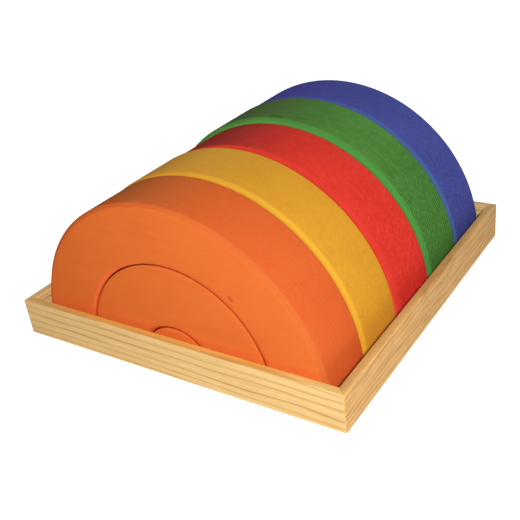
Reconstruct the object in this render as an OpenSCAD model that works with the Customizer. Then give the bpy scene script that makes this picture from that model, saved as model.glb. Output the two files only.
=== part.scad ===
// Half-round rows of stained wooden blocks in a shallow tray.
// X runs across the arches, Y from the front row to the back row and Z up.
// The origin is the middle of the tray's underside.

/* [Blocks] */
// Outer radius that the rows are sawn to
row_r = 97; // [85:0.5:110]
// Outer radius of every inner arch
inner_arch_r = 60.5; // [45:0.5:72]
// Radius of every half disc
disc_r = 22; // [15:0.5:32]
// Depth that the blocks are planed to, front to back
block_depth = 40; // [25:1:60]
// Radius of the blocks' rolled edges
edge_r = 3; // [1:0.25:5]

/* [Orange row] */
// What the orange row's outer radius has over the set's
orange_over_r = 0; // [-3:0.5:5]
// What the orange row's depth has over the set's
orange_over_depth = -1.5; // [-3:0.5:3]
// How far the orange row lies to the right of the tray's middle
orange_shift = 0; // [-3:0.1:3]

/* [Yellow row] */
// What the yellow row's outer radius has over the set's
yellow_over_r = 0.5; // [-3:0.5:5]
// What the yellow row's depth has over the set's
yellow_over_depth = 0; // [-3:0.5:3]
// How far the yellow row lies to the right of the tray's middle
yellow_shift = 0; // [-3:0.1:3]

/* [Red row] */
// What the red row's outer radius has over the set's
red_over_r = 0.5; // [-3:0.5:5]
// What the red row's depth has over the set's
red_over_depth = 1; // [-3:0.5:3]
// How far the red row lies to the right of the tray's middle
red_shift = 2; // [-3:0.1:3]

/* [Green row] */
// What the green row's outer radius has over the set's
green_over_r = 2.5; // [-3:0.5:5]
// What the green row's depth has over the set's
green_over_depth = 1; // [-3:0.5:3]
// How far the green row lies to the right of the tray's middle
green_shift = 0.7; // [-3:0.1:3]

/* [Blue row] */
// What the blue row's outer radius has over the set's
blue_over_r = 2; // [-3:0.5:5]
// What the blue row's depth has over the set's
blue_over_depth = 0; // [-3:0.5:3]
// How far the blue row lies to the right of the tray's middle
blue_shift = 1.2; // [-3:0.1:3]

/* [Tray] */
// Thickness of the rails
rail_t = 5.5; // [4.5:0.5:12]
// Height of the rails
rail_h = 23; // [16:1:45]
// Radius of the rails' eased top edges
rail_edge_r = 0.9; // [0.3:0.1:2]
// Radius of the tray's eased outer corners
corner_r = 1.2; // [0.3:0.1:3]
// Thickness of the floor panel
panel_t = 3.6; // [3:0.1:6]
// Width of the rebate that the floor panel lies in
rebate_w = 3; // [2.6:0.1:4]

/* [Brads] */
// Brads along each rail
brads_per_rail = 3; // [2:1:6]
// Diameter of a brad's shank
brad_d = 1.2; // [0.8:0.1:1.6]
// Length of a brad with its head
brad_len = 12; // [8:0.5:14]
// Diameter of a brad's head
brad_head_d = 2; // [1.6:0.1:2.4]
// Thickness of a brad's head
brad_head_t = 0.6; // [0.3:0.1:1]

/* [Fits] */
// Width of the saw cut between nested blocks
kerf = 0.8; // [0.4:0.1:2]
// Gap between neighbouring rows
row_gap = 0.6; // [0.3:0.1:3]
// Room between the widest row and a side rail
side_gap = 3.8; // [1:0.1:15]
// Room between an end row and its rail
end_gap = 2.55; // [0.5:0.05:15]
// Gap between the floor panel's edge and the rebate
panel_fit = 0.2; // [0.1:0.1:1]
// Gap all round a brad in its hole
brad_fit = 0.05; // [0.05:0.05:0.2]

/* [Hidden] */
$fn = 96;

// Name, outer radius, depth, sideways place and colour of each row, front row first
rows = [
    ["orange", row_r + orange_over_r, block_depth + orange_over_depth, orange_shift, "#E8762D"],
    ["yellow", row_r + yellow_over_r, block_depth + yellow_over_depth, yellow_shift, "#E2A530"],
    ["red", row_r + red_over_r, block_depth + red_over_depth, red_shift, "#D8362F"],
    ["green", row_r + green_over_r, block_depth + green_over_depth, green_shift, "#4A8239"],
    ["blue", row_r + blue_over_r, block_depth + blue_over_depth, blue_shift, "#464A92"],
];
row_indices = [0 : len(rows) - 1];
pine = "#E3BE82";
plywood = "#D9B98A";
steel = "#9A9CA0";

// How far a cutting shape reaches past the face that it cuts
cut = 1;

function row_name(i) = rows[i][0];
function outer_r(i) = rows[i][1];
function row_depth(i) = rows[i][2];
function row_shift(i) = rows[i][3];
function row_colour(i) = rows[i][4];

// Room that the rows before row i take, with a gap after each
function room_before(i) = i == 0 ? 0 : room_before(i - 1) + row_depth(i - 1) + row_gap;

inner_w = 2 * (max([for (i = row_indices) outer_r(i) + abs(row_shift(i))]) + side_gap);
inner_l = room_before(len(rows)) - row_gap + 2 * end_gap;
panel_edge = rebate_w - panel_fit;

function row_front(i) = end_gap - inner_l / 2 + room_before(i);

// Places of the brads along a rail whose inner length is span
function brad_places(span) = [for (i = [0 : brads_per_rail - 1]) span * ((i + 0.5) / brads_per_rail - 0.5)];

// Shared shapes

// Rectangle with all four corners rounded
module soft_rectangle(low, high, r) {
    translate([low[0] + r, low[1]]) square([high[0] - low[0] - 2 * r, high[1] - low[1]]);
    translate([low[0], low[1] + r]) square([high[0] - low[0], high[1] - low[1] - 2 * r]);
    for (x = [low[0] + r, high[0] - r])
        for (y = [low[1] + r, high[1] - r])
            translate([x, y]) circle(r);
}

// What rounding takes off a square corner at the origin, with the wood on the side of +X and +Y
module corner_waste(r) {
    difference() {
        translate([-cut, -cut]) square(r + cut);
        translate([r, r]) circle(r);
    }
}

// What rounding takes off a foot where a round face of radius r meets the floor at right angles
module foot_waste(r, outside) {
    centre_r = outside ? r - edge_r : r + edge_r;
    centre_x = sqrt(centre_r * centre_r - edge_r * edge_r);
    meet_z = edge_r * r / centre_r;
    far_x = outside ? r + cut : r - edge_r;
    difference() {
        translate([min(centre_x, far_x), -cut]) square([abs(far_x - centre_x), meet_z + cut]);
        translate([centre_x, edge_r]) circle(edge_r);
    }
}

// Lays a flat shape in the XZ plane and carries it back along Y through a block of that depth
module through_block(depth) {
    translate([0, depth + cut, 0])
        rotate([90, 0, 0])
            linear_extrude(depth + 2 * cut) children();
}

// Half ring with every edge rolled over: its two ends stand on the plane of the origin, front face at Y = 0
module half_ring(r_in, r_out, depth) {
    difference() {
        translate([0, depth, 0])
            rotate([90, 0, 0])
                rotate_extrude(angle = 180)
                    soft_rectangle([r_in, 0], [r_out, depth], edge_r);
        for (side = [0, 1])
            mirror([side, 0, 0])
                through_block(depth) {
                    foot_waste(r_out, true);
                    foot_waste(r_in, false);
                }
        foot_ends(r_out, depth);
    }
}

// What rounding takes off the front and back edges of a foot
module foot_ends(r_out, depth) {
    for (back = [0, 1])
        translate([0, back * depth, 0])
            mirror([0, back, 0])
                rotate([90, 0, 90])
                    linear_extrude(2 * (r_out + cut), center = true) corner_waste(edge_r);
}

// Half disc with every edge rolled over, front face at Y = 0
module half_round(r, depth) {
    difference() {
        translate([0, depth, 0])
            rotate([90, 0, 0])
                rotate_extrude(angle = 180)
                    intersection() {
                        soft_rectangle([-r, 0], [r, depth], edge_r);
                        square([r + cut, depth]);
                    }
        for (side = [0, 1])
            mirror([side, 0, 0])
                through_block(depth) foot_waste(r, true);
        foot_ends(r, depth);
    }
}

// Puts a block at its row's place on the floor panel
module in_row(i) {
    color(row_colour(i))
        translate([row_shift(i), row_front(i), panel_t])
            children();
}

// Section of a rail, outer face at X = 0, with eased top edges and the rebate for the floor panel
module rail_section() {
    difference() {
        union() {
            soft_rectangle([0, 0], [rail_t, rail_h], rail_edge_r);
            square([rail_t, rail_h / 2]);
        }
        translate([rail_t - rebate_w, -cut]) square([rebate_w + cut, panel_t + cut]);
    }
}

// Rail along X whose inner face, span long, lies reach in front of the tray's middle
module rail(span, reach) {
    outer_x = span / 2 + rail_t;
    outer_y = -reach - rail_t;
    difference() {
        intersection() {
            translate([0, outer_y, 0])
                rotate([90, 0, 90])
                    linear_extrude(2 * (outer_x + cut), center = true) rail_section();
            // Mitre at both ends
            translate([0, 0, -cut])
                linear_extrude(rail_h + 2 * cut)
                    polygon([
                        [-outer_x - cut, outer_y - cut], [outer_x + cut, outer_y - cut],
                        [span / 2 - cut, cut - reach], [cut - span / 2, cut - reach],
                    ]);
        }
        for (side = [0, 1])
            mirror([side, 0, 0])
                translate([-outer_x, outer_y, -cut])
                    linear_extrude(rail_h + 2 * cut) corner_waste(corner_r);
        at_brads(span, reach)
            cylinder(h = brad_len + brad_fit, d = brad_d + 2 * brad_fit);
    }
}

// Repeats a shape at every brad of one rail, in the middle of its rebate
module at_brads(span, reach) {
    for (x = brad_places(span))
        translate([x, -reach - panel_edge / 2, 0]) children();
}

// Repeats a shape at every brad of all four rails
module at_all_brads() {
    for (turn = [0, 180])
        rotate(turn) at_brads(inner_w, inner_l / 2) children();
    for (turn = [90, 270])
        rotate(turn) at_brads(inner_l, inner_w / 2) children();
}

// Tray

module front_rail() {
    color(pine) rail(inner_w, inner_l / 2);
}

module back_rail() {
    color(pine) rotate(180) rail(inner_w, inner_l / 2);
}

module right_rail() {
    color(pine) rotate(90) rail(inner_l, inner_w / 2);
}

module left_rail() {
    color(pine) rotate(270) rail(inner_l, inner_w / 2);
}

module floor_panel() {
    color(plywood)
        difference() {
            translate([-inner_w / 2 - panel_edge, -inner_l / 2 - panel_edge, 0])
                cube([inner_w + 2 * panel_edge, inner_l + 2 * panel_edge, panel_t]);
            at_all_brads() {
                translate([0, 0, -cut]) cylinder(h = panel_t + 2 * cut, d = brad_d + 2 * brad_fit);
                translate([0, 0, -cut]) cylinder(h = brad_head_t + cut, d = brad_head_d + 2 * brad_fit);
            }
        }
}

module floor_brads() {
    color(steel)
        at_all_brads() {
            cylinder(h = brad_len, d = brad_d);
            cylinder(h = brad_head_t, d = brad_head_d);
        }
}

// Blocks

module outer_arch(i) {
    in_row(i) half_ring(inner_arch_r + kerf, outer_r(i), row_depth(i));
}

module inner_arch(i) {
    in_row(i) half_ring(disc_r + kerf, inner_arch_r, row_depth(i));
}

module half_disc(i) {
    in_row(i) half_round(disc_r, row_depth(i));
}

front_rail();
back_rail();
left_rail();
right_rail();
floor_panel();
floor_brads();
for (i = row_indices) {
    outer_arch(i);
    inner_arch(i);
    half_disc(i);
}
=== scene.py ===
"""Dress the rainbow stacker: half-round rows of stained blocks standing in a mitred pine tray.

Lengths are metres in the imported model's own frame: X runs across the arches, Y from the orange front row
to the blue back row and Z up, and the origin is the middle of the tray's underside. The finishes place
their patterns in millimetres.
"""

import logging
import math
from collections.abc import Mapping
from dataclasses import dataclass
from enum import Enum
from typing import Optional, Union

import bpy
from mathutils import Matrix, Vector


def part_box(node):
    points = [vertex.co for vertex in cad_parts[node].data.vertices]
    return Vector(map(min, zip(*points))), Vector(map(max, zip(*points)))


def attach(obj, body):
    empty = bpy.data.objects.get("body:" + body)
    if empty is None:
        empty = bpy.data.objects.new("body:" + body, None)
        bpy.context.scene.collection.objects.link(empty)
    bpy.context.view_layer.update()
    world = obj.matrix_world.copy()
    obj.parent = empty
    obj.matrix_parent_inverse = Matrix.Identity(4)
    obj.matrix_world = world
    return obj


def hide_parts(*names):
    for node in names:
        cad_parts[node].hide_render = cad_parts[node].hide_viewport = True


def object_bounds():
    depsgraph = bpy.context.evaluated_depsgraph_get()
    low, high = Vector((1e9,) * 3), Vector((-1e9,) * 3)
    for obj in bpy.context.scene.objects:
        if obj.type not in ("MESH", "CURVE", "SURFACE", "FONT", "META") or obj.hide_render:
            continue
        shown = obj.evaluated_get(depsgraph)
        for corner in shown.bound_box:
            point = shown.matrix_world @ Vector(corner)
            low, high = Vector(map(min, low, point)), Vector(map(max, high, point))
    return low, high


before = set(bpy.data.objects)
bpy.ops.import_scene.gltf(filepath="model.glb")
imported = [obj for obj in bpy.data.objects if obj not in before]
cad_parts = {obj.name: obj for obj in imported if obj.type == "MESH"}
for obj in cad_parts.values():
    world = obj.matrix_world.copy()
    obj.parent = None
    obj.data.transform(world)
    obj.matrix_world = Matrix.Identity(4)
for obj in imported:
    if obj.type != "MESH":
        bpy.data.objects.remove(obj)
cad_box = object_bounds()

log = logging.getLogger("rainbow_stacker")

MM = 0.001
NOISE_MEAN = 0.5
WHITE = (1.0, 1.0, 1.0)
# A place multiplied by one of these loses that direction.
NO_X = (0.0, 1.0, 1.0)
NO_Y = (1.0, 0.0, 1.0)

Colour = tuple[float, float, float]
Triple = tuple[float, float, float]
Span = tuple[float, float]
Weights = Mapping[str, float]
Operand = Union["Wire", float]


class RowColour(Enum):
    """The rows of blocks, front row first."""

    ORANGE = "orange"
    YELLOW = "yellow"
    RED = "red"
    GREEN = "green"
    BLUE = "blue"


class Block(Enum):
    """The nested blocks of one row, from the middle outwards."""

    HALF_DISC = "half_disc"
    INNER_ARCH = "inner_arch"
    OUTER_ARCH = "outer_arch"


class Along(Enum):
    """The direction that a rail, and so its grain, runs in."""

    X = 0
    Y = 1


def linear(red: int, green: int, blue: int) -> Colour:
    """Turn an 8-bit screen colour into the linear colour that shaders take, by the sRGB curve.

    Args:
        red: Red, from 0 to 255.
        green: Green, from 0 to 255.
        blue: Blue, from 0 to 255.

    Returns:
        The three linear values, from 0 to 1.
    """
    shares = [channel / 255 for channel in (red, green, blue)]
    return tuple(s / 12.92 if s <= 0.04045 else ((s + 0.055) / 1.055) ** 2.4 for s in shares)


def times(colour: Colour, tint: Colour) -> Colour:
    """Tint a colour, channel by channel."""
    return tuple(channel * share for channel, share in zip(colour, tint))


class Wire:
    """An output socket whose arithmetic adds Math nodes to its tree."""

    def __init__(self, graph: "Graph", socket: Optional[bpy.types.NodeSocket]) -> None:
        """Hold one output socket of a graph."""
        self.graph = graph
        self.socket = socket

    def math(self, operation: str, other: Operand = 0.0) -> "Wire":
        """Add a Math node on this value, and on another one if the operation takes two."""
        return self.graph.maths(operation, self, other)

    def __add__(self, other: Operand) -> "Wire":
        """Add."""
        return self.math("ADD", other)

    def __radd__(self, other: Operand) -> "Wire":
        """Add, from the right."""
        return self.graph.maths("ADD", other, self)

    def __sub__(self, other: Operand) -> "Wire":
        """Subtract."""
        return self.math("SUBTRACT", other)

    def __rsub__(self, other: Operand) -> "Wire":
        """Subtract from a number."""
        return self.graph.maths("SUBTRACT", other, self)

    def __mul__(self, other: Operand) -> "Wire":
        """Multiply."""
        return self.math("MULTIPLY", other)

    def __rmul__(self, other: Operand) -> "Wire":
        """Multiply, from the right."""
        return self.graph.maths("MULTIPLY", other, self)

    def __truediv__(self, other: Operand) -> "Wire":
        """Divide."""
        return self.math("DIVIDE", other)

    def __rtruediv__(self, other: Operand) -> "Wire":
        """Divide a number."""
        return self.graph.maths("DIVIDE", other, self)

    def __abs__(self) -> "Wire":
        """Drop the sign."""
        return self.math("ABSOLUTE")

    def out(self, name: str) -> "Wire":
        """Give another output of the same node."""
        return Wire(self.graph, self.socket.node.outputs[name])


@dataclass(frozen=True)
class Grain:
    """A kind of noise: the sizes of its bumps, what it adds to a seed, and how its finer layers are."""

    sizes: Triple
    pattern: int
    detail: float = 2.0
    roughness: float = 0.5


class Graph:
    """A shader or geometry tree that grows through one method."""

    def __init__(self, tree: bpy.types.NodeTree) -> None:
        """Start from a tree's present nodes."""
        self.tree = tree

    def add(
        self,
        kind: str,
        settings: Mapping[str, object],
        inputs: Mapping[Union[str, int], object],
        output: Union[str, int] = 0,
    ) -> Wire:
        """Add a node of any kind.

        Args:
            kind: The node's type.
            settings: Its properties, set before its sockets.
            inputs: Values or wires by the socket's name or number.
            output: The output socket to return.

        Returns:
            The chosen output, with no socket if the node has none.
        """
        node = self.tree.nodes.new(kind)
        for name, value in settings.items():
            setattr(node, name, value)
        for key, value in inputs.items():
            if isinstance(value, Wire):
                self.tree.links.new(value.socket, node.inputs[key])
            else:
                node.inputs[key].default_value = value
        return Wire(self, node.outputs[output] if len(node.outputs) else None)

    def maths(self, operation: str, first: Operand, second: Operand) -> Wire:
        """Add a Math node on two values."""
        return self.add("ShaderNodeMath", {"operation": operation}, {0: first, 1: second})

    def vector(
        self, operation: str, first: object, second: object = (0.0, 0.0, 0.0), output: str = "Vector"
    ) -> Wire:
        """Add a Vector Math node.

        Args:
            operation: The node's operation.
            first: The first vector.
            second: The second vector.
            output: Vector, or Value where the operation gives a number.

        Returns:
            The result.
        """
        return self.add("ShaderNodeVectorMath", {"operation": operation}, {0: first, 1: second}, output)

    def length(self, vector: Wire) -> Wire:
        """Measure a vector."""
        return self.vector("LENGTH", vector, output="Value")

    def dot(self, first: object, second: object) -> Wire:
        """Multiply two vectors to a number."""
        return self.vector("DOT_PRODUCT", first, second, "Value")

    def parts(self, vector: Wire) -> tuple[Wire, Wire, Wire]:
        """Split a vector into its three numbers."""
        split = self.add("ShaderNodeSeparateXYZ", {}, {0: vector})
        return split.out("X"), split.out("Y"), split.out("Z")

    def joined(self, x: Operand, y: Operand, z: Operand) -> Wire:
        """Make a vector of three numbers."""
        return self.add("ShaderNodeCombineXYZ", {}, {0: x, 1: y, 2: z})

    def step(self, value: Wire, low: float, high: float) -> Wire:
        """Rise smoothly from 0 at low to 1 at high."""
        settings = {"interpolation_type": "SMOOTHSTEP"}
        return self.add("ShaderNodeMapRange", settings, {0: value, 1: low, 2: high, 3: 0.0, 4: 1.0})

    def ramp(self, value: Wire, low: float, high: float) -> Wire:
        """Rise evenly from 0 at low to 1 at high."""
        return self.add("ShaderNodeMapRange", {}, {0: value, 1: low, 2: high, 3: 0.0, 4: 1.0})

    def band(self, value: Wire, rise: Span, fall: Span) -> Wire:
        """Rise smoothly from 0 to 1 over one span and fall back to 0 over another."""
        return self.step(value, *rise) * (1 - self.step(value, *fall))

    def between(self, value: Wire, low: float, high: float) -> Wire:
        """Limit a value to a range."""
        return self.add("ShaderNodeClamp", {}, {0: value, 1: low, 2: high})

    def towards(self, first: Wire, second: Wire, share: Wire) -> Wire:
        """Go from one value to another by a share."""
        return first + (second - first) * share

    def total(self, weights: Weights, **values: Wire) -> Wire:
        """Add up values by their weights.

        Args:
            weights: The weight of each value, by its name, and the base that they are added to.
            values: The values, by name.

        Returns:
            The sum.
        """
        result = weights["base"]
        for name, value in values.items():
            result = result + value * weights[name]
        return result

    def noise(self, place: Wire, grain: Grain, seed: Operand) -> Wire:
        """Add smooth noise.

        Args:
            place: Where the noise is read.
            grain: The kind of noise.
            seed: Picks one of many alike patterns.

        Returns:
            A value around 0.5.
        """
        inputs = {
            "Vector": self.vector("DIVIDE", place, grain.sizes),
            "W": seed + grain.pattern,
            "Scale": 1.0,
            "Detail": grain.detail,
            "Roughness": grain.roughness,
        }
        return self.add("ShaderNodeTexNoise", {"noise_dimensions": "4D"}, inputs)

    def blend(self, share: Operand, first: Union[Wire, Colour], second: Union[Wire, Colour]) -> Wire:
        """Mix two colours.

        Args:
            share: The share of the second colour, which is limited to 0 to 1.
            first: The first colour.
            second: The second colour.

        Returns:
            The mixed colour.
        """
        first, second = [end if isinstance(end, Wire) else (*end, 1.0) for end in (first, second)]
        settings = {"data_type": "RGBA", "clamp_factor": True}
        return self.add("ShaderNodeMix", settings, {0: share, 6: first, 7: second}, 2)

    def tinted(self, share: Wire, colour: Wire, tint: Colour) -> Wire:
        """Tint a colour by a share."""
        return self.blend(share, colour, self.vector("MULTIPLY", colour, tint))

    def shown(self) -> Wire:
        """Tell the rays that show a backdrop: straight, mirrored or through glass.

        Returns:
            1 for such a ray and 0 for one that only carries light.
        """
        straight = self.add("ShaderNodeLightPath", {}, {}, "Is Camera Ray")
        either = straight.math("MAXIMUM", straight.out("Is Glossy Ray"))
        return either.math("MAXIMUM", straight.out("Is Transmission Ray"))


class Finish:
    """What all materials share: one Principled shader, and places on Object coordinates in millimetres."""

    def __init__(self, name: str) -> None:
        """Start an empty material.

        Args:
            name: The material's name.
        """
        self.material = bpy.data.materials.new(name)
        self.material.use_nodes = True
        tree = self.material.node_tree
        tree.nodes.clear()
        self.graph = Graph(tree)
        where = self.graph.add("ShaderNodeTexCoord", {}, {}, "Object")
        self.facing = where.out("Normal")
        self.place = self.graph.vector("MULTIPLY", where, (1 / MM,) * 3)

    def close(self, colour: Wire, roughness: Wire, height: Wire, relief: float, shine: Weights) -> None:
        """Feed the Principled shader and the material's output.

        Args:
            colour: Base colour.
            roughness: Roughness.
            height: Height of the relief, from 0 to 1.
            relief: How deep the relief is, in metres.
            shine: Values of other sockets, which are the same all over.
        """
        bump = self.graph.add("ShaderNodeBump", {}, {"Strength": 1.0, "Distance": relief, "Height": height})
        inputs = {"Base Color": colour, "Roughness": roughness, "Normal": bump, **shine}
        shader = self.graph.add("ShaderNodeBsdfPrincipled", {}, inputs)
        self.graph.add("ShaderNodeOutputMaterial", {}, {"Surface": shader})


@dataclass(frozen=True)
class Mark:
    """A short dark streak in the wood, in millimetres from the middle of its row's base."""

    start: Triple
    end: Triple
    radius: float

    CORE = 0.2

    def share(self, graph: Graph, plank: Wire) -> Wire:
        """Find how much of the streak each point shows.

        Args:
            graph: The graph that the nodes go into.
            plank: A place in the row.

        Returns:
            1 on the streak, falling to 0 a radius away from it.
        """
        way = Vector(self.end) - Vector(self.start)
        offset = graph.vector("SUBTRACT", plank, self.start)
        along = graph.between(graph.dot(offset, tuple(way / way.length_squared)), 0.0, 1.0)
        nearest = graph.vector("MULTIPLY", graph.joined(along, along, along), tuple(way))
        away = graph.length(graph.vector("SUBTRACT", offset, nearest))
        return 1 - graph.step(away, self.CORE * self.radius, self.radius)


@dataclass(frozen=True)
class Rim:
    """The outside of one row: a point on its axis halfway through its depth, its radius and its depth."""

    middle: Vector
    radius: float
    depth: float


class BlockSurface:
    """How each point of a row faces, and where it lies in millimetres from the middle of the row's base."""

    END_GRAIN = (0.45, 0.95)
    SAWN_FACE = (0.5, 0.95)
    UNDER_RIM = (7.0, 4.0)

    def __init__(self, finish: Finish, rim: Rim) -> None:
        """Work out the surface of one row.

        Args:
            finish: The row's material.
            rim: The row's outside.
        """
        graph = finish.graph
        self.plank = graph.vector("SUBTRACT", finish.place, tuple(rim.middle / MM))
        self.across, self.deep, self.above = graph.parts(self.plank)
        from_axis = graph.vector("MULTIPLY", self.plank, NO_Y)
        near_rim = [rim.radius / MM - below for below in self.UNDER_RIM]
        self.inside = 1 - graph.step(graph.length(from_axis), *near_rim)

        facing_x, facing_y, _ = graph.parts(finish.facing)
        self.end_grain = graph.step(abs(facing_x), *self.END_GRAIN)
        self.sawn_face = graph.step(abs(facing_y), *self.SAWN_FACE)
        # 1 where a point faces away from the row's axis, and -1 where it faces the axis.
        self.square_on = graph.dot(finish.facing, graph.vector("NORMALIZE", from_axis))
        self.rolled = 1 - abs(facing_y).math("MAXIMUM", abs(self.square_on))


@dataclass(frozen=True)
class Figure:
    """The figure of a plank's wood: dark late wood and open pores from 0 to 1, and noises around 0.5."""

    late_wood: Wire
    fibre: Wire
    blotch: Wire
    streak: Wire
    pores: Wire


@dataclass(frozen=True)
class Stain:
    """Clear colour stain on planed close-grained wood whose grain runs along X.

    Attributes:
        name: The material's name.
        light: The colour of the palest wood.
        dark: The colour of the darkest wood.
        rubbed_and_shaded: The colour of the rim's worn edges, which also paints shade over their highlight.
        pith_y: How far behind the row's middle the heart of the tree was, in millimetres.
        pith_z: How far above the row's base it was, in millimetres.
        ring: The width of a growth ring in millimetres.
        lines: How strongly the rings show.
        end_lines: How much more they show on end grain.
        mottle: How strongly short streaks show.
        left_shade_and_sheen: The tint of the rim's upper left: painted shade with a painted sheen.
        seed: Picks the wood's pattern.
        marks: Single dark streaks.
    """

    name: str
    light: Colour
    dark: Colour
    rubbed_and_shaded: Colour
    pith_y: float
    pith_z: float
    ring: float
    lines: float
    end_lines: float
    mottle: float
    left_shade_and_sheen: Colour
    seed: float
    marks: tuple[Mark, ...] = ()

    # The wood's figure.
    DRIFT = Grain((160.0, 30.0, 30.0), 0)
    FIBRE = Grain((22.0, 0.7, 0.7), 1, 3.0, 0.6)
    BLOTCH = Grain((38.0, 26.0, 20.0), 2)
    PORE = Grain((3.5, 0.28, 0.28), 3, 1.0)
    RINGS = Grain((1.0, 1.0, 1.0), 4, 0.0)
    STREAK = Grain((8.0, 2.2, 2.2), 5, 2.0, 0.6)
    RING_DRIFT = 12.0
    LATE_WOOD = ((0.4, 0.85), (0.88, 1.0))
    OPEN_PORE = (0.68, 0.8)

    # Where the stain changes and where light and shade are painted on, in millimetres or by how the surface
    # is turned.
    # Heights of the sawn faces' feet that get painted bounce light.
    BOUNCE_LIT_FOOT = (15.0, 28.0)
    RIGHTWARDS = (-30.0, 70.0)
    # Where the painted shade and sheen lie on the rim's upper left.
    UPPER_LEFT = ((-85.0, -50.0), (-30.0, 35.0))
    LEFT_FOOT = (-56.0, -40.0)
    BEHIND_FACE = (7.0, 1.0)
    FRONT_EDGE = (4.0, 5.0)
    # How far inside the front row's rim the painted shade behind it lies.
    CREASE = ((0.7, 1.5), (1.8, 4.0))
    RIM_EDGE = (0.0, 0.07)
    HOLLOW_EDGE = (0.0, 0.06)
    NOT_HOLLOW = (-0.1, 0.0)
    CUT_WALL = (0.6, 0.95)

    # How it changes there, with the painted light and shade.
    SAWN_TINT = (0.93, 1.03, 0.94)
    # Painted bounce light on the sawn faces' feet.
    BOUNCE_LIGHT_TINT = (1.28, 1.18, 1.3)
    # Painted highlight on the hollows' edges.
    HOLLOW_HIGHLIGHT_TINT = (1.1, 0.95, 1.1)
    # The dark of the real marks, also used for the painted shade in the saw cuts and behind the row in
    # front.
    MARK_AND_SHADE_DARK = (0.65, 0.42, 0.35)
    HOLLOW_HIGHLIGHT_SHARE = 0.85
    CUT_SHADE_SHARE = 0.72
    CREASE_SHADE_SHARE = 0.3
    MARK_SHARE = 0.65
    # How far the saw cuts' painted shade spreads onto the left foot.
    LEFT_FOOT_SPREAD = 0.2
    WEAR = {"base": 0.6, "blotch": 0.4}
    # How much of the rubbed colour goes on; as painted shade over the rim's highlight it is strongest at
    # the right.
    RUB_AND_SHADE = {"base": 0.2, "rightwards": 0.75}
    TONE = {
        "base": 0.3, "fibre": 0.85, "face_fibre": -0.35, "blotch": 0.5, "pores": 0.12,
        "end_grain": 0.1, "sawn_face": -0.25,
    }
    ROUGHNESS = {"base": 0.56, "fibre": 0.2, "end_grain": 0.1, "wear": -0.06}
    HEIGHT = {"base": 0.3, "fibre": 0.55, "late_wood": 0.3, "pores": -0.5}
    RELIEF = 0.04 * MM
    SHINE = {"Specular IOR Level": 0.0}

    def material(self, rim: Rim, front: Optional[Rim]) -> bpy.types.Material:
        """Make the stained wood of one row.

        Args:
            rim: The row's outside.
            front: The outside of the row in front, if there is one.

        Returns:
            The row's material.
        """
        finish = Finish(self.name)
        graph = finish.graph
        surface = BlockSurface(finish, rim)
        figure = self._figure(graph, surface.plank)
        edge = graph.step(surface.rolled, *self.RIM_EDGE)
        wear = edge * (1 - surface.inside) * graph.total(self.WEAR, blotch=figure.blotch)
        colour = self._fresh(graph, surface, figure)
        colour = self._rubbed_lit_and_shaded(graph, surface, colour, wear)
        colour = self._shaded_and_marked(finish, surface, colour, rim, front)

        fibre = figure.fibre
        end_grain = surface.end_grain
        roughness = graph.total(self.ROUGHNESS, fibre=fibre - NOISE_MEAN, end_grain=end_grain, wear=wear)
        height = graph.total(self.HEIGHT, fibre=fibre, late_wood=figure.late_wood, pores=figure.pores)
        finish.close(colour, roughness, height, self.RELIEF, self.SHINE)
        return finish.material

    def _figure(self, graph: Graph, plank: Wire) -> Figure:
        """Draw rings round the heart of the tree, and fibres, blotches, streaks and pores along X.

        Args:
            graph: The graph that the nodes go into.
            plank: A place in the row.

        Returns:
            The figure.
        """
        drift = graph.noise(plank, self.DRIFT, self.seed)
        from_pith = graph.vector("SUBTRACT", plank, (0.0, self.pith_y, self.pith_z))
        outwards = graph.length(graph.vector("MULTIPLY", from_pith, NO_X))
        turns = (outwards + drift * self.RING_DRIFT) / self.ring
        ring_strength = graph.noise(graph.joined(turns, 0.0, 0.0), self.RINGS, self.seed)
        return Figure(
            late_wood=graph.band(turns.math("FRACT"), *self.LATE_WOOD) * ring_strength,
            fibre=graph.noise(plank, self.FIBRE, self.seed),
            blotch=graph.noise(plank, self.BLOTCH, self.seed),
            streak=graph.noise(plank, self.STREAK, self.seed),
            pores=graph.step(graph.noise(plank, self.PORE, self.seed), *self.OPEN_PORE),
        )

    def _fresh(self, graph: Graph, surface: BlockSurface, figure: Figure) -> Wire:
        """Stain the wood: the sawn faces take it evenly, and their feet are tinted paler as painted bounce
        light.

        Args:
            graph: The graph that the nodes go into.
            surface: The row's surface.
            figure: The wood's figure.

        Returns:
            The colour.
        """
        end_grain, sawn_face = surface.end_grain, surface.sawn_face
        fibre = figure.fibre - NOISE_MEAN
        tone = figure.late_wood * (self.lines + self.end_lines * end_grain)
        tone = tone + (figure.streak - NOISE_MEAN) * self.mottle * (1 + end_grain)
        tone = tone + graph.total(
            self.TONE,
            fibre=fibre,
            face_fibre=fibre * sawn_face,
            blotch=figure.blotch - NOISE_MEAN,
            end_grain=end_grain,
            sawn_face=sawn_face,
            pores=figure.pores,
        )
        colour = graph.blend(tone, self.light, self.dark)
        colour = graph.tinted(sawn_face, colour, self.SAWN_TINT)
        # Painted light: the feet of the sawn faces are tinted paler, as if lit by light bounced from the
        # rail.
        foot = (1 - graph.step(surface.above, *self.BOUNCE_LIT_FOOT)) * sawn_face
        return graph.tinted(foot, colour, self.BOUNCE_LIGHT_TINT)

    def _rubbed_lit_and_shaded(self, graph: Graph, surface: BlockSurface, colour: Wire, wear: Wire) -> Wire:
        """Rub the rim's edges and paint shade over their highlight, most at the right, paint a paler
        highlight on the hollows' edges and paint shade and sheen on the upper left.

        Args:
            graph: The graph that the nodes go into.
            surface: The row's surface.
            colour: The colour so far.
            wear: How worn each point is.

        Returns:
            The colour.
        """
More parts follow.
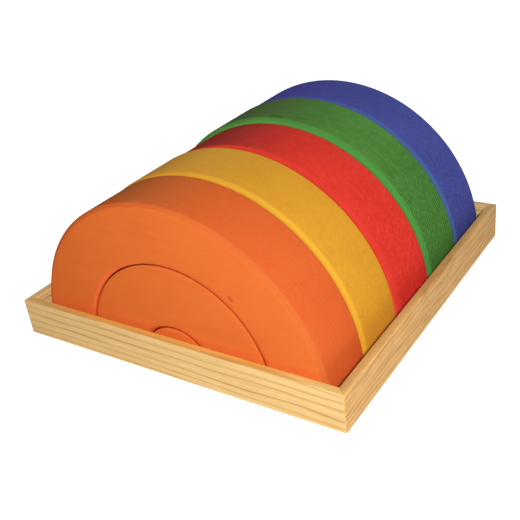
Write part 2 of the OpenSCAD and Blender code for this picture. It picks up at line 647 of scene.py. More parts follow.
        # The rubbed colour is wear on the rim's edges and also painted shade that dulls their highlight,
        # most at the right.
        rub_and_shade = graph.total(self.RUB_AND_SHADE, rightwards=graph.step(surface.across, *self.RIGHTWARDS))
        colour = graph.blend(wear * rub_and_shade, colour, self.rubbed_and_shaded)
        # Painted highlight: the rolled edges of the hollows are painted paler.
        hollow = surface.inside * (1 - graph.step(surface.square_on, *self.NOT_HOLLOW))
        hollow_edge = graph.step(surface.rolled, *self.HOLLOW_EDGE) * hollow
        pale = times(self.light, self.HOLLOW_HIGHLIGHT_TINT)
        colour = graph.blend(hollow_edge * self.HOLLOW_HIGHLIGHT_SHARE, colour, pale)
        # Painted shade and painted sheen: the upper left of the rim's top, turned away from the lamp, is
        # tinted.
        upper_left = graph.band(surface.across, *self.UPPER_LEFT) * (1 - surface.sawn_face)
        upper_left = upper_left * (1 - graph.step(surface.rolled, *self.RIM_EDGE))
        return graph.tinted(upper_left, colour, self.left_shade_and_sheen)

    def _shaded_and_marked(
        self, finish: Finish, surface: BlockSurface, colour: Wire, rim: Rim, front: Optional[Rim]
    ) -> Wire:
        """Paint shade into the saw cuts near the sawn faces and onto the edge behind the row in front, and
        darken the marks.

        Args:
            finish: The row's material.
            surface: The row's surface.
            colour: The colour so far.
            rim: The row's outside.
            front: The outside of the row in front, if there is one.

        Returns:
            The colour.
        """
        graph = finish.graph
        mark_and_shade_dark = times(self.dark, self.MARK_AND_SHADE_DARK)
        half_depth = rim.depth / 2 / MM
        near_face = graph.step(abs(surface.deep), *[half_depth - behind for behind in self.BEHIND_FACE])
        left_foot = 1 - graph.step(surface.across, *self.LEFT_FOOT)
        steep = abs(surface.square_on) + self.LEFT_FOOT_SPREAD * left_foot
        # Painted shade: the saw cuts' walls near the sawn faces, more of them at the left foot, are
        # darkened as shade in the narrow gap.
        saw_cut_shade = graph.step(steep, *self.CUT_WALL) * near_face * surface.inside
        colour = graph.blend(saw_cut_shade * self.CUT_SHADE_SHARE, colour, mark_and_shade_dark)
        # Painted shade: a thin dark line on this row's face just behind the rim of the row in front.
        if front:
            off_front = graph.vector("SUBTRACT", finish.place, tuple(front.middle / MM))
            from_front_axis = graph.length(graph.vector("MULTIPLY", off_front, NO_Y))
            crease = graph.band(min(front.radius, rim.radius) / MM - from_front_axis, *self.CREASE)
            at_front = 1 - graph.step(surface.deep, *[behind - half_depth for behind in self.FRONT_EDGE])
            colour = graph.blend(crease * at_front * self.CREASE_SHADE_SHARE, colour, mark_and_shade_dark)
        for mark in self.marks:
            colour = graph.blend(mark.share(graph, surface.plank) * self.MARK_SHARE, colour, mark_and_shade_dark)
        return colour


@dataclass(frozen=True)
class Pine:
    """Planed pine with growth rings along a rail and a dark glue line in its mitres.

    Attributes:
        name: The material's name.
        along: The direction that the rail runs in.
        light: The colour of the pale wood.
        line: The colour of the rings' late wood.
        handled: The colour of the rail's top where hands hold it.
        pith: Where the heart of the tree was, along the rail, across it and up, in millimetres.
        ring: The width of a growth ring in millimetres.
        waver: How far the rings waver, in millimetres.
        lines: How strongly the rings show.
        mottle: How strongly short streaks show.
        seed: Picks the wood's pattern.
        grip: Where along the rail it is held most, in millimetres from its middle.
    """

    name: str
    along: Along
    light: Colour
    line: Colour
    handled: Colour
    pith: Triple
    ring: float
    waver: float
    lines: float
    mottle: float
    seed: float
    grip: float = 0.0

    # The wood's figure.
    DRIFT = Grain((130.0, 14.0, 14.0), 0)
    FIBRE = Grain((26.0, 0.6, 0.6), 1, 3.0, 0.6)
    BLOTCH = Grain((60.0, 12.0, 12.0), 2)
    RINGS = Grain((1.0, 90.0, 1.0), 3, 1.0)
    RIPPLE = Grain((34.0, 9.0, 9.0), 4, 1.0)
    STREAK = Grain((15.0, 2.2, 2.2), 5, 2.0, 0.6)
    RING_DRIFT = 7.0
    WAVER_DRIFT = 3.0
    RING_SLOPE = 0.012
    LATE_WOOD = ((0.56, 0.86), (0.88, 0.98))
    FINE_LINE = ((0.3, 0.8), (0.8, 1.0))
    FINE_LINES_PER_RING = 2.7

    # Where the rail is held and glued, in millimetres or by how the surface is turned.
    OFF_GRIP = (30.0, 110.0)
    TOP = (0.4, 0.95)
    INNER_PART = (0.0, 0.75)
    OFF_SEAM = (0.08, 0.3)

    # How its look changes.
    GLUE = linear(120, 84, 48)
    SEAM_SHARE = 0.15
    LINES = {"base": 0.0, "late_wood": 1.1, "fine_line": 0.3}
    TONE = {"base": 0.12, "fibre": 0.8, "blotch": 0.5}
    HOLD = {"base": 0.85, "off_grip": -0.4}
    PATCHES = {"base": 0.4, "blotch": 1.2}
    ROUGHNESS = {"base": 0.56, "fibre": 0.2, "late_wood": -0.06}
    HEIGHT = {"base": 0.5, "fibre": 0.4, "late_wood": 0.3, "seam": -0.6}
    RELIEF = 0.05 * MM
    SHINE = {"Specular IOR Level": 0.12}

    def material(self, outer: float, thickness: float) -> bpy.types.Material:
        """Make the pine of one rail.

        Args:
            outer: How far the rail's outer face is from the middle of the tray.
            thickness: The rail's thickness.

        Returns:
            The rail's material.
        """
        finish = Finish(self.name)
        graph = finish.graph
        x, y, z = graph.parts(finish.place)
        run, side = (x, y) if self.along is Along.X else (y, x)
        rail = graph.joined(run, side, z)
        late_wood, lines = self._rings(graph, rail, run)
        fibre = graph.noise(rail, self.FIBRE, self.seed)
        blotch = graph.noise(rail, self.BLOTCH, self.seed)
        streak = graph.noise(rail, self.STREAK, self.seed)
        tone = lines * self.lines + (streak - NOISE_MEAN) * self.mottle
        tone = tone + graph.total(self.TONE, fibre=fibre - NOISE_MEAN, blotch=blotch - NOISE_MEAN)
        colour = graph.blend(tone, self.light, self.line)

        _, _, upwards = graph.parts(finish.facing)
        inwards = graph.ramp(abs(side), outer / MM, (outer - thickness) / MM)
        hold = graph.total(self.HOLD, off_grip=graph.step(abs(run - self.grip), *self.OFF_GRIP))
        held = hold * graph.total(self.PATCHES, blotch=blotch)
        touched = graph.step(upwards, *self.TOP) * graph.step(inwards, *self.INNER_PART) * held
        colour = graph.blend(touched, colour, self.handled)
        seam = 1 - graph.step(abs(abs(x) - abs(y)), *self.OFF_SEAM)
        colour = graph.blend(seam * self.SEAM_SHARE, colour, self.GLUE)

        roughness = graph.total(self.ROUGHNESS, fibre=fibre - NOISE_MEAN, late_wood=late_wood)
        height = graph.total(self.HEIGHT, fibre=fibre, late_wood=late_wood, seam=seam)
        finish.close(colour, roughness, height, self.RELIEF, self.SHINE)
        return finish.material

    def _rings(self, graph: Graph, rail: Wire, run: Wire) -> tuple[Wire, Wire]:
        """Draw the growth rings, each with a broad dark line and fine ones between.

        Args:
            graph: The graph that the nodes go into.
            rail: A place in the rail: along it, across it and up.
            run: How far along the rail that is.

        Returns:
            The broad lines, and all lines with some of them stronger than others.
        """
        drift = graph.noise(rail, self.DRIFT, self.seed)
        ripple = graph.noise(rail, self.RIPPLE, self.seed)
        from_pith = graph.vector("SUBTRACT", rail, self.pith)
        outwards = graph.length(graph.vector("MULTIPLY", from_pith, NO_X))
        outwards = outwards + drift * (self.RING_DRIFT + self.WAVER_DRIFT * self.waver)
        turns = (outwards + ripple * self.waver + run * self.RING_SLOPE) / self.ring
        late_wood = graph.band(turns.math("FRACT"), *self.LATE_WOOD)
        fine_turns = turns * self.FINE_LINES_PER_RING
        fine_line = graph.band(fine_turns.math("FRACT"), *self.FINE_LINE)
        ring_strength = graph.noise(graph.joined(turns, run, 0.0), self.RINGS, self.seed)
        return late_wood, graph.total(self.LINES, late_wood=late_wood, fine_line=fine_line) * ring_strength


@dataclass(frozen=True)
class Plywood:
    """Sanded plywood with a broad rotary-cut figure along X."""

    name: str
    light: Colour
    line: Colour
    seed: float

    FIGURE = Grain((190.0, 24.0, 24.0), 0, 1.0)
    FIBRE = Grain((18.0, 0.5, 0.5), 1, 3.0, 0.6)
    BANDS = 9.0
    LATE_WOOD = ((0.2, 0.85), (0.88, 1.0))
    TONE = {"base": 0.2, "late_wood": 0.5, "fibre": 0.6}
    ROUGHNESS = {"base": 0.6, "fibre": 0.2}
    RELIEF = 0.08 * MM

    def material(self) -> bpy.types.Material:
        """Make the floor panel's material.

        Returns:
            The material.
        """
        finish = Finish(self.name)
        graph = finish.graph
        bands = graph.noise(finish.place, self.FIGURE, self.seed) * self.BANDS
        late_wood = graph.band(bands.math("FRACT"), *self.LATE_WOOD)
        fibre = graph.noise(finish.place, self.FIBRE, self.seed)
        tone = graph.total(self.TONE, late_wood=late_wood, fibre=fibre - NOISE_MEAN)
        colour = graph.blend(tone, self.light, self.line)
        roughness = graph.total(self.ROUGHNESS, fibre=fibre - NOISE_MEAN)
        finish.close(colour, roughness, fibre, self.RELIEF, {})
        return finish.material


@dataclass(frozen=True)
class BrightSteel:
    """Drawn steel wire with a dull zinc bloom."""

    name: str
    light: Colour
    dull: Colour
    seed: float

    BLOOM = Grain((0.7, 0.7, 0.7), 0, 3.0)
    DULLED = (0.35, 0.7)
    ROUGHNESS = {"base": 0.3, "bloom": 0.25}
    RELIEF = 0.02 * MM

    def material(self) -> bpy.types.Material:
        """Make the brads' material.

        Returns:
            The material.
        """
        finish = Finish(self.name)
        graph = finish.graph
        bloom = graph.noise(finish.place, self.BLOOM, self.seed)
        colour = graph.blend(graph.step(bloom, *self.DULLED), self.light, self.dull)
        roughness = graph.total(self.ROUGHNESS, bloom=bloom)
        finish.close(colour, roughness, bloom, self.RELIEF, {"Metallic": 1.0})
        return finish.material


class BlockTree:
    """Geometry Nodes for a block with every edge rolled over: a finely cut cube whose points are moved.

    A subclass gives the tree's name, its sizes and the cube's cells, and says where each point goes.
    """

    NAME: str
    SIZES: tuple[str, ...]
    CELLS: tuple[int, int, int]
    EDGE_CELLS = 4
    DENTS = Grain((26 * MM,) * 3, 0, 1.0)
    UNEVEN = 0.12 * MM
    TINY = 1e-6

    def __init__(self) -> None:
        """Build the tree once for all blocks of its shape."""
        self.tree = bpy.data.node_groups.new(self.NAME, "GeometryNodeTree")
        interface = self.tree.interface
        kinds = {**dict.fromkeys(self.SIZES, "NodeSocketFloat"), "Material": "NodeSocketMaterial"}
        self.sockets = {
            name: interface.new_socket(name, in_out="INPUT", socket_type=kind)
            for name, kind in kinds.items()
        }
        interface.new_socket("Geometry", in_out="OUTPUT", socket_type="NodeSocketGeometry")
        self.graph = Graph(self.tree)
        self._grow()

    def moved(self, corner: Wire, sizes: Mapping[str, Wire]) -> Wire:
        """Say where a point of the cube goes.

        Args:
            corner: The point, with each coordinate from -1 to 1.
            sizes: The tree's sizes.

        Returns:
            The point's place on the block.
        """
        raise NotImplementedError

    def cut(self, reach: Wire, cells: int) -> tuple[Wire, Wire]:
        """Part a distance from the cube's middle into the flat core and the rolled edge.

        Args:
            reach: The distance, from 0 to 1.
            cells: How many cells the cube has in that direction.

        Returns:
            How far out in the core and how far over the edge the point is, each from 0 to 1.
        """
        bend = 1 - 2 * self.EDGE_CELLS / cells
        return self.graph.ramp(reach, 0.0, bend), self.graph.ramp(reach, bend, 1.0)

    def gathered(self, core: Wire) -> Wire:
        """Draw the core's points towards its rim, so that the crease beside it stays crisp."""
        return core * (2 - core)

    def rolled(self, overs: tuple[Wire, Wire, Wire], widths: tuple[Wire, Wire, Wire]) -> list[Wire]:
        """Roll an edge over: it leaves the face gently and meets the rim and the foot at a crease.

        With face, rim and foot as the shares of the roll in the three directions, the surface is
        face + rim * rim + foot * foot = 1.

        Args:
            overs: How far over the edge the point is towards the foot, the face and the rim.
            widths: How far the roll reaches in each direction.

        Returns:
            How far the point stands out from the core in each direction.
        """
        foot, face, rim = overs
        square = face * face + 4 * (foot * foot + rim * rim)
        total = face + square.math("SQRT")
        spread = 2 / total.math("MAXIMUM", self.TINY)
        return [over * width * spread for over, width in zip(overs, widths)]

    def through(
        self, sizes: Mapping[str, Wire], back: Wire, core: Wire, edge_depth: Wire, roll: Wire
    ) -> Wire:
        """Place a point between the block's front and back.

        Args:
            sizes: The tree's sizes.
            back: 1 in the back half and -1 in the front half.
            core: How far out in the core the point is, from 0 to 1.
            edge_depth: How deep the edge is rolled there.
            roll: How far the point stands out from the core.

        Returns:
            The point's Y.
        """
        half = sizes["Depth"] / 2
        return sizes["Front Y"] + half + back * (self.gathered(core) * (half - edge_depth) + roll)

    def _grow(self) -> None:
        """Add the nodes: cut the cube, move its points, sand it a little uneven and dress it."""
        graph = self.graph
        given = graph.add("NodeGroupInput", {}, {})
        sizes = {name: given.out(name) for name in self.SIZES}
        counts = {f"Vertices {axis}": cells + 1 for axis, cells in zip("XYZ", self.CELLS)}
        cube = graph.add("GeometryNodeMeshCube", {}, {"Size": (2.0, 2.0, 2.0), **counts})
        corner = graph.add("GeometryNodeInputPosition", {}, {})
        place = self.moved(corner, sizes)
        shaped = graph.add("GeometryNodeSetPosition", {}, {"Geometry": cube, "Position": place})

        spot = graph.add("GeometryNodeInputPosition", {}, {})
        hollow = (graph.noise(spot, self.DENTS, sizes["Seed"]) - 1) * self.UNEVEN
        outwards = graph.add("GeometryNodeInputNormal", {}, {})
        inwards = graph.vector("MULTIPLY", outwards, graph.joined(hollow, hollow, hollow))
        sanded = graph.add("GeometryNodeSetPosition", {}, {"Geometry": shaped, "Offset": inwards})
        smooth = graph.add("GeometryNodeSetShadeSmooth", {}, {"Geometry": sanded})
        real = graph.add("GeometryNodeRealizeInstances", {}, {"Geometry": smooth})
        inputs = {"Geometry": real, "Material": given.out("Material")}
        dressed = graph.add("GeometryNodeSetMaterial", {}, inputs)
        graph.add("NodeGroupOutput", {}, {"Geometry": dressed})

    def piece(
        self, name: str, sizes: Mapping[str, float], material: bpy.types.Material
    ) -> bpy.types.Object:
        """Evaluate the tree into a plain mesh object at the origin.

        Args:
            name: The piece's name.
            sizes: Values for the tree's sizes, and for others that it doesn't have.
            material: The piece's material.

        Returns:
            The finished object.
        """
        blank = bpy.data.objects.new(name + "_blank", bpy.data.meshes.new(name + "_blank"))
        bpy.context.scene.collection.objects.link(blank)
        modifier = blank.modifiers.new("block", "NODES")
        modifier.node_group = self.tree
        for size in self.SIZES:
            modifier[self.sockets[size].identifier] = sizes[size]
        modifier[self.sockets["Material"].identifier] = material
        bpy.context.view_layer.update()
        evaluated = blank.evaluated_get(bpy.context.evaluated_depsgraph_get())
        mesh = bpy.data.meshes.new_from_object(evaluated)
        mesh.name = name
        bpy.data.objects.remove(blank)
        made = bpy.data.objects.new(name, mesh)
        bpy.context.scene.collection.objects.link(made)
        return made


class ArchTree(BlockTree):
    """A half ring: the cube's X is bent round the row's axis and its Z is the ring's wall.

    The inside edges are rolled in full at the left and fade towards the right, between two places that
    run from -1 at the left foot to 1 at the right one.
    """

    NAME = "rolled_arch"
    SIZES = (
        "Inner Radius", "Inner Middle X", "Inner Axis Rise", "Outer Radius", "Outer Middle X",
        "Outer Axis Rise", "Depth", "Edge Width", "Inner Edge Depth", "Outer Edge Depth", "Back Share",
        "Right Share", "Front Y", "Base Z", "Seed",
    )
    CELLS = (104, 18, 16)
    FADE = (-0.6, -0.15)

    def moved(self, corner: Wire, sizes: Mapping[str, Wire]) -> Wire:
        """Bend a point of the cube round the arch.

        Args:
            corner: The point, with each coordinate from -1 to 1.
            sizes: The tree's sizes.

        Returns:
            The point's place on the arch.
        """
        graph = self.graph
        inner, outer, edge = sizes["Inner Radius"], sizes["Outer Radius"], sizes["Edge Width"]
        side, back, outside = graph.parts(graph.vector("SIGN", corner))
        reaches = graph.parts(graph.vector("ABSOLUTE", corner))
        cuts = [self.cut(reach, cells) for reach, cells in zip(reaches, self.CELLS)]
        (core_arc, over_foot), (core_y, over_y), (core_wall, over_wall) = cuts

        to_right, _, to_outside = graph.parts(corner)
        outwards = (to_outside + 1) / 2
        fade = 1 - (1 - sizes["Right Share"]) * graph.step(to_right, *self.FADE)
        inner_depth = sizes["Inner Edge Depth"] * fade
        edge_depth = graph.towards(inner_depth, sizes["Outer Edge Depth"], outwards)
        edge_depth = edge_depth * (1 - (1 - sizes["Back Share"]) * (back + 1) / 2)
        overs = (over_foot, over_y, over_wall)
        roll_foot, roll_y, roll_wall = self.rolled(overs, (edge, edge_depth, edge))

        wall = self.gathered(core_wall) * ((outer - inner) / 2 - edge) + roll_wall
        radius = (inner + outer) / 2 + outside * wall
        middle_x = graph.towards(sizes["Inner Middle X"], sizes["Outer Middle X"], outwards)
        axis_rise = graph.towards(sizes["Inner Axis Rise"], sizes["Outer Axis Rise"], outwards)
        rise = (edge - roll_foot - axis_rise) / radius
        foot = rise.math("ARCSINE")
        angle = foot + (math.pi / 2 - foot) * (1 - core_arc)
        x = middle_x + side * radius * angle.math("COSINE")
        y = self.through(sizes, back, core_y, edge_depth, roll_y)
        z = sizes["Base Z"] + axis_rise + radius * angle.math("SINE")
        return graph.joined(x, y, z)


class HalfDiscTree(BlockTree):
    """A half disc: the cube's sides and top are bent to the rim and its underside stays flat."""

    NAME = "rolled_half_disc"
    SIZES = (
        "Outer Radius", "Outer Middle X", "Outer Axis Rise", "Depth", "Edge Width", "Outer Edge Depth",
        "Front Y", "Base Z", "Seed",
    )
    CELLS = (48, 18, 24 + BlockTree.EDGE_CELLS)

    def moved(self, corner: Wire, sizes: Mapping[str, Wire]) -> Wire:
        """Spread a point of the cube over the half disc, on rays from the middle of its underside.

        Args:
            corner: The point, with each coordinate from -1 to 1.
            sizes: The tree's sizes.

        Returns:
            The point's place on the half disc.
        """
        graph = self.graph
        edge, edge_depth = sizes["Edge Width"], sizes["Outer Edge Depth"]
        axis_rise = sizes["Outer Axis Rise"]
        side, back, _ = graph.parts(graph.vector("SIGN", corner))
        wide, deep, _ = graph.parts(graph.vector("ABSOLUTE", corner))
        _, _, height = graph.parts(corner)
        base_line = 2 * self.EDGE_CELLS / self.CELLS[2] - 1
        over_base = 1 - graph.ramp(height, -1.0, base_line)
        up = graph.ramp(height, base_line, 1.0)
        core_out, over_rim = self.cut(wide.math("MAXIMUM", up), self.CELLS[0])
        core_out = self.gathered(core_out)
        core_y, over_y = self.cut(deep, self.CELLS[1])
        overs = (over_base, over_y, over_rim)
        roll_base, roll_y, roll_rim = self.rolled(overs, (edge, edge_depth, edge))

        angle = up.math("ARCTAN2", wide)
        level, steep = angle.math("COSINE"), angle.math("SINE")
        core_radius = sizes["Outer Radius"] - edge
        off_axis = edge - axis_rise
        square = core_radius * core_radius - off_axis * level * off_axis * level
        to_rim = square.math("SQRT") - off_axis * steep
        rim_x = to_rim * level
        rim_z = edge + to_rim * steep
        x = sizes["Outer Middle X"] + side * (core_out * rim_x + roll_rim * rim_x / core_radius)
        y = self.through(sizes, back, core_y, edge_depth, roll_y)
        core_z = edge + core_out * (rim_z - edge)
        z = sizes["Base Z"] + core_z + roll_rim * (rim_z - axis_rise) / core_radius - roll_base
        return graph.joined(x, y, z)


@dataclass(frozen=True)
class RimRoll:
    """How deep a row's rim is rolled over at the front, and the share of it that the back has."""

    depth: float
    back_share: float


@dataclass(frozen=True)
class SawCuts:
    """How far a row's saw cuts lie right of its axis and above it, and how much smaller they are."""

    right: float = 0.0
    up: float = 0.0
    trim: float = 0.0


@dataclass
class BlockRow:
    """One row: a half disc and two arches sawn from the same stained plank.

    Every edge is rolled over by one width along the sawn faces. Its depth differs: the rim has its own, the
    nested blocks' outside edges have another, and the hollow arches' inside edges fade towards the right.
    """

    colour: RowColour
    stain: Stain
    roll: RimRoll
    cuts: SawCuts
    front: Optional[Rim] = None
    kerf: float = 0.7 * MM
    edge_width: float = 3.2 * MM
    nested_edge_depth: float = 0.3 * MM
    hollow_edge_depth: float = 1.7 * MM
    right_edge_share: float = 0.3

    def node(self, block: Block) -> str:
        """Name a block's node."""
        return f"{self.colour.value}_{block.value}"

    def radius(self, block: Block) -> float:
        """Work out a block's outer radius.

        Args:
            block: The block.

        Returns:
            The radius, which is smaller by the saw cut's trim for the nested blocks.
        """
        low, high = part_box(self.node(block))
        trim = 0.0 if block is Block.OUTER_ARCH else self.cuts.trim
        return (high.x - low.x) / 2 - trim

    def rim(self) -> Rim:
        """Measure the row's outside.

        Returns:
            The row's outside.
        """
        low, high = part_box(self.node(Block.OUTER_ARCH))
        middle = Vector(((low.x + high.x) / 2, (low.y + high.y) / 2, low.z))
        return Rim(middle, self.radius(Block.OUTER_ARCH), high.y - low.y)

    def sizes(self, block: Block) -> dict[str, float]:
        """Work out a block's sizes from the row's solids.

        Args:
            block: The block.

        Returns:
            A value for each size that a tree may ask for.
        """
        low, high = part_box(self.node(block))
        is_rim = block is Block.OUTER_ARCH
        middle_x = (low.x + high.x) / 2
        sizes = {
            "Outer Radius": self.radius(block),
            "Outer Middle X": middle_x if is_rim else middle_x + self.cuts.right,
            "Outer Axis Rise": 0.0 if is_rim else self.cuts.up,
            "Inner Middle X": middle_x + self.cuts.right,
            "Inner Axis Rise": self.cuts.up,
            "Depth": high.y - low.y,
            "Edge Width": self.edge_width,
            "Inner Edge Depth": self.hollow_edge_depth,
            "Outer Edge Depth": self.roll.depth if is_rim else self.nested_edge_depth,
            "Back Share": self.roll.back_share,
            "Right Share": self.right_edge_share,
            "Front Y": low.y,
            "Base Z": low.z,
            "Seed": self.stain.seed,
        }
        if block is not Block.HALF_DISC:
            nested = Block.INNER_ARCH if is_rim else Block.HALF_DISC
            sizes["Inner Radius"] = self.radius(nested) + self.kerf
        return sizes

    def build(self, trees: Mapping[Block, BlockTree]) -> list[bpy.types.Object]:
        """Make the row's blocks and dress them.

        Args:
            trees: The Geometry Nodes for each block.

        Returns:
            The row's visible pieces.
        """
        material = self.stain.material(self.rim(), self.front)
        pieces = []
        for block, tree in trees.items():
            node = self.node(block)
            piece = tree.piece(node + "_wood", self.sizes(block), material)
            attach(piece, node)
            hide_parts(node)
            pieces.append(piece)
        return pieces


@dataclass
class Tray:
    """The mitred pine tray with its plywood floor and brads."""

    rails: Mapping[str, Pine]
    panel: Plywood
    brads: BrightSteel

    def build(self) -> list[bpy.types.Object]:
        """Dress the tray's pieces where they are.

        Returns:
            The tray's visible pieces.
        """
        finishes = {"floor_panel": self.panel.material(), "floor_brads": self.brads.material()}
        for side, pine in self.rails.items():
            low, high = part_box(f"{side}_rail")
            across = 1 - pine.along.value
            outer = max(abs(low[across]), abs(high[across]))
            finishes[f"{side}_rail"] = pine.material(outer, high[across] - low[across])
        pieces = []
        for node, material in finishes.items():
            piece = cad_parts[node]
            piece.data.materials.clear()
            piece.data.materials.append(material)
            pieces.append(piece)
        return pieces


@dataclass(frozen=True)
class SoftLamp:
    """A square soft lamp aimed at the middle of the object, with its heading and height in degrees."""

    name: str
    heading: float
    height: float
    distance: float
    size: float
    power: float
    colour: Colour

    def build(self) -> None:
        """Hang the lamp: its heading turns from the front to the right, and its height from the level."""
        heading, height = math.radians(self.heading), math.radians(self.height)
        level = math.cos(height)
        towards = Vector((math.sin(heading) * level, -math.cos(heading) * level, math.sin(height)))
        light = bpy.data.lights.new(self.name, "AREA")
        light.size = self.size
        light.energy = self.power
        light.color = self.colour
        lamp = bpy.data.objects.new(self.name, light)
        lamp.location = Vector((0, 0, (cad_box[0].z + cad_box[1].z) / 2)) + towards * self.distance
        lamp.rotation_euler = towards.to_track_quat("Z", "Y").to_euler()
        bpy.context.scene.collection.objects.link(lamp)


@dataclass(frozen=True)
class Viewpoint:
    """The camera, where the photograph was taken from, with its angles in degrees."""

    place: Triple = (0.2587, -0.3658, 0.2629)
    heading: float = 36.16
    tilt: float = -28.79
    roll: float = -7.29
    focal_px: float = 800.5
    image_px: float = 520.0
    sensor_mm: float = 36.0
    nearest: float = 0.01

    def build(self) -> None:
        """Set the camera up: turned to the left from +Y, tilted from the level and rolled."""
        data = bpy.data.cameras.new("camera")
        data.sensor_width = self.sensor_mm
        data.lens = self.focal_px / self.image_px * self.sensor_mm
        data.clip_start = self.nearest
        camera = bpy.data.objects.new("camera", data)
        turn = Matrix.Rotation(math.radians(self.heading), 4, "Z")
        tilt = Matrix.Rotation(math.radians(90 + self.tilt), 4, "X")
        roll = Matrix.Rotation(math.radians(self.roll), 4, "Z")
        camera.matrix_world = Matrix.Translation(self.place) @ turn @ tilt @ roll
        bpy.context.scene.collection.objects.link(camera)
        bpy.context.scene.camera = camera


@dataclass
class Studio:
    """Floor, light and camera."""

    floor_size: float = 6.0
    floor_colour: Colour = (0.8, 0.8, 0.8)
    floor_lift: float = 0.78
    floor_fade: Span = (0.25, 0.9)
    sky: Colour = (0.97, 0.98, 1.0)
    sky_strength: float = 0.15
    lamps: tuple[SoftLamp, ...] = (
        SoftLamp(
            "key", heading=38.5, height=28.5, distance=0.65, size=0.045, power=3.9, colour=(1.0, 0.98, 0.95)
        ),
        SoftLamp(
            "back", heading=172.0, height=5.0, distance=1.2, size=0.8, power=6.5, colour=(1.0, 0.99, 0.97)
        ),
        SoftLamp(
            "left", heading=262.0, height=5.0, distance=1.2, size=0.8, power=2.8, colour=(1.0, 0.99, 0.97)
        ),
    )
    viewpoint: Viewpoint = Viewpoint()

    def build(self) -> None:
        """Set up the stage, the light and the camera."""
        self._floor()
        self._sky()
        for lamp in self.lamps:
            lamp.build()
        self.viewpoint.build()
        bpy.context.scene.view_settings.view_transform = "Standard"

    def _floor(self) -> None:
        """Lay a pale floor that camera rays see lifted, to white far off, and that keeps the shadow."""
        half = self.floor_size / 2
        corners = [(-half, -half, 0), (half, -half, 0), (half, half, 0), (-half, half, 0)]
        mesh = bpy.data.meshes.new("floor")
        mesh.from_pydata(corners, [], [(0, 1, 2, 3)])
        floor = bpy.data.objects.new("floor", mesh)
        bpy.context.scene.collection.objects.link(floor)
        material = bpy.data.materials.new("pale_floor")
        material.use_nodes = True
        material.node_tree.nodes.clear()
        graph = Graph(material.node_tree)
        away = graph.length(graph.add("ShaderNodeTexCoord", {}, {}, "Object"))
        lift = self.floor_lift + (1 - self.floor_lift) * graph.step(away, *self.floor_fade)
        glow = graph.add("ShaderNodeEmission", {}, {"Strength": graph.shown() * lift})
        paint = graph.add("ShaderNodeBsdfDiffuse", {}, {"Color": (*self.floor_colour, 1.0)})
        both = graph.add("ShaderNodeAddShader", {}, {0: paint, 1: glow})
        graph.add("ShaderNodeOutputMaterial", {}, {"Surface": both})
        mesh.materials.append(material)

    def _sky(self) -> None:
        """Give an even sky that the camera sees as white."""
        world = bpy.data.worlds.new("studio")
        world.use_nodes = True
        world.node_tree.nodes.clear()
        graph = Graph(world.node_tree)
        shades = [
            graph.add("ShaderNodeBackground", {}, {"Color": (*colour, 1.0), "Strength": strength})
            for colour, strength in ((self.sky, self.sky_strength), (WHITE, 1.0))
        ]
        mixed = graph.add("ShaderNodeMixShader", {}, {0: graph.shown(), 1: shades[0], 2: shades[1]})
        graph.add("ShaderNodeOutputWorld", {}, {"Surface": mixed})
        bpy.context.scene.world = world


STAINS = {
    RowColour.ORANGE: Stain(
        "orange_stain", light=linear(223, 108, 51), dark=linear(204, 81, 39), rubbed_and_shaded=linear(190, 98, 47),
        pith_y=-95.0, pith_z=40.0, ring=2.6, lines=0.1, end_lines=0.2, mottle=0.2,
        left_shade_and_sheen=(0.95, 1.3, 1.5), seed=1.0,
        marks=(Mark(start=(43.4, -19.2, 53.4), end=(44.9, -19.2, 51.7), radius=1.2),),
    ),
    RowColour.YELLOW: Stain(
        "yellow_stain", light=linear(227, 165, 53), dark=linear(203, 138, 41), rubbed_and_shaded=linear(208, 159, 49),
        pith_y=120.0, pith_z=70.0, ring=2.4, lines=0.1, end_lines=0.15, mottle=0.45,
        left_shade_and_sheen=(1.2, 1.3, 2.1), seed=2.0,
    ),
    RowColour.RED: Stain(
        "red_stain", light=linear(238, 69, 55), dark=linear(204, 45, 39), rubbed_and_shaded=linear(194, 53, 45),
        pith_y=80.0, pith_z=-45.0, ring=1.7, lines=0.2, end_lines=0.35, mottle=0.7,
        left_shade_and_sheen=(0.58, 1.05, 1.3), seed=3.0,
    ),
    RowColour.GREEN: Stain(
        "green_stain", light=linear(98, 155, 74), dark=linear(61, 110, 46), rubbed_and_shaded=linear(70, 142, 66),
        pith_y=-150.0, pith_z=60.0, ring=2.0, lines=0.2, end_lines=1.5, mottle=0.75,
        left_shade_and_sheen=(1.2, 0.75, 1.25), seed=4.0,
        marks=(Mark(start=(-6.6, -14.8, 99.3), end=(2.6, -15.8, 99.5), radius=1.3),),
    ),
    RowColour.BLUE: Stain(
        "blue_stain", light=linear(84, 95, 174), dark=linear(67, 68, 141), rubbed_and_shaded=linear(71, 97, 153),
        pith_y=90.0, pith_z=30.0, ring=2.4, lines=0.1, end_lines=0.2, mottle=0.75,
        left_shade_and_sheen=(1.4, 1.08, 1.25), seed=5.0,
    ),
}
ROLLS = {
    RowColour.ORANGE: RimRoll(depth=2.2 * MM, back_share=0.64),
    RowColour.YELLOW: RimRoll(depth=2.5 * MM, back_share=0.69),
    RowColour.RED: RimRoll(depth=2.6 * MM, back_share=0.7),
    RowColour.GREEN: RimRoll(depth=3.2 * MM, back_share=0.32),
    RowColour.BLUE: RimRoll(depth=3.2 * MM, back_share=0.5),
}
CUTS = {colour: SawCuts() for colour in RowColour}
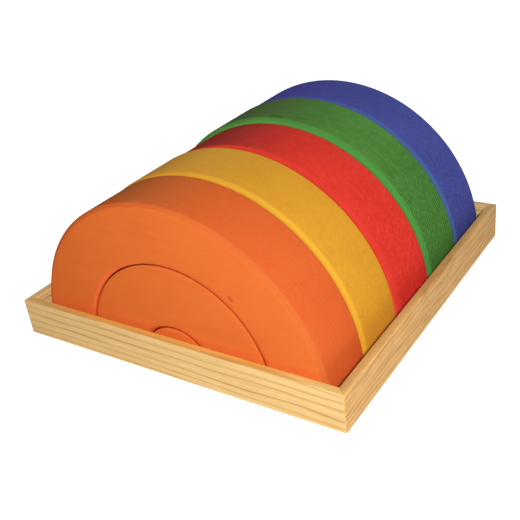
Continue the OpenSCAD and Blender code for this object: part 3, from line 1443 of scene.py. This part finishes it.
CUTS[RowColour.ORANGE] = SawCuts(right=1.9 * MM, up=1.8 * MM, trim=0.5 * MM)
PLAIN_PINE = {
    "light": linear(236, 200, 138),
    "line": linear(192, 142, 82),
    "handled": linear(216, 164, 96),
}
RAILS = {
    "front": Pine(
        "front_rail_pine", Along.X,
        light=linear(228, 195, 132), line=linear(186, 140, 82), handled=linear(231, 178, 75),
        pith=(0.0, -120.0, -150.0), ring=4.6, waver=0.7, lines=1.0, mottle=0.4, seed=11.0, grip=-10.0,
    ),
    "back": Pine(
        "back_rail_pine", Along.X, **PLAIN_PINE,
        pith=(0.0, 130.0, -120.0), ring=5.0, waver=1.0, lines=1.0, mottle=0.4, seed=12.0,
    ),
    "left": Pine(
        "left_rail_pine", Along.Y, **PLAIN_PINE,
        pith=(0.0, -122.0, -120.0), ring=5.0, waver=1.4, lines=1.0, mottle=0.4, seed=13.0,
    ),
    "right": Pine(
        "right_rail_pine", Along.Y,
        light=linear(223, 177, 108), line=linear(170, 116, 62), handled=linear(190, 142, 84),
        pith=(0.0, 132.0, -160.0), ring=3.7, waver=3.0, lines=0.85, mottle=1.3, seed=14.0, grip=40.0,
    ),
}
PANEL = Plywood("birch_plywood", light=linear(226, 196, 150), line=linear(190, 150, 100), seed=21.0)
BRADS = BrightSteel("brad_wire", light=linear(196, 198, 202), dull=linear(128, 130, 134), seed=22.0)


def main() -> None:
    """Build and dress every piece and set up the studio."""
    logging.basicConfig(level=logging.INFO, format="%(name)s: %(message)s")
    for piece in Tray(RAILS, PANEL, BRADS).build():
        log.info("tray: %s", piece.name)
    arches = ArchTree()
    trees = {Block.HALF_DISC: HalfDiscTree(), Block.INNER_ARCH: arches, Block.OUTER_ARCH: arches}
    front = None
    for colour in RowColour:
        row = BlockRow(colour, STAINS[colour], ROLLS[colour], CUTS[colour], front)
        for piece in row.build(trees):
            log.info("%s row: %s, %d faces", colour.value, piece.name, len(piece.data.polygons))
        front = row.rim()
    Studio().build()


if __name__ == "__main__":
    main()
